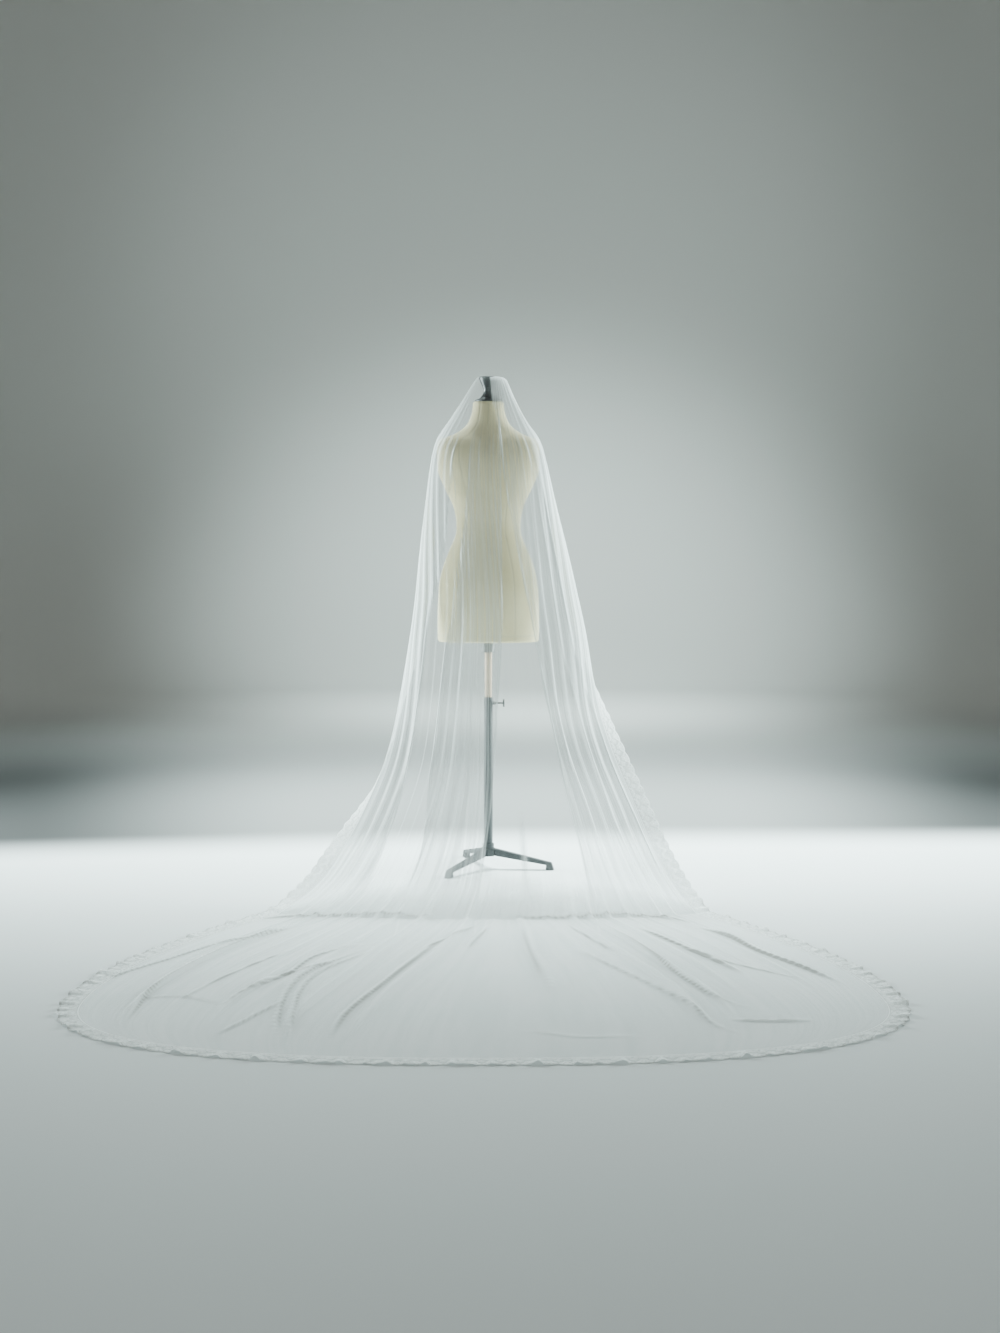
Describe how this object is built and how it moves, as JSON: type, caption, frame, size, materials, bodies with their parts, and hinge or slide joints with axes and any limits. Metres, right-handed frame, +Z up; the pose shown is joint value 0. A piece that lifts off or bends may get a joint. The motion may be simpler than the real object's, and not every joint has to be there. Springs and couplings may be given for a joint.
{
  "type": "long lace-edged net veil on a limbless dress form and stand",
  "caption": "Long sheer veil with a scalloped lace edge, draped from a limbless dress form down to a rounded train on the floor.",
  "frame": {"origin": "on the floor, under the middle of the whole piece's box", "axes": "+Z up, +Y the way the dress form faces, -Y the way the train runs, +X to the right seen from behind the form"},
  "size_m": [2.0953, 2.391, 1.6963],
  "materials": {
    "net": "fine sheer net",
    "lace": "corded floral lace",
    "linen": "plain woven cover",
    "plate": "matt",
    "knob": "gloss black",
    "wood": "satin",
    "painted": "satin dark grey",
    "steel": "satin"
  },
  "bodies": {
    "root": {"veil_net": "net", "lace_edging": "lace", "form_body": "linen", "armhole_plate_left": "plate", "armhole_plate_right": "plate", "finial": "knob", "form_collar": "steel", "wood_pole": "wood", "metal_tube": "painted", "clamp_screw": "steel", "hub_ring": "painted", "tripod_hub": "painted", "leg_1": "painted", "leg_2": "painted", "leg_3": "painted"}
  },
  "joints": []
}
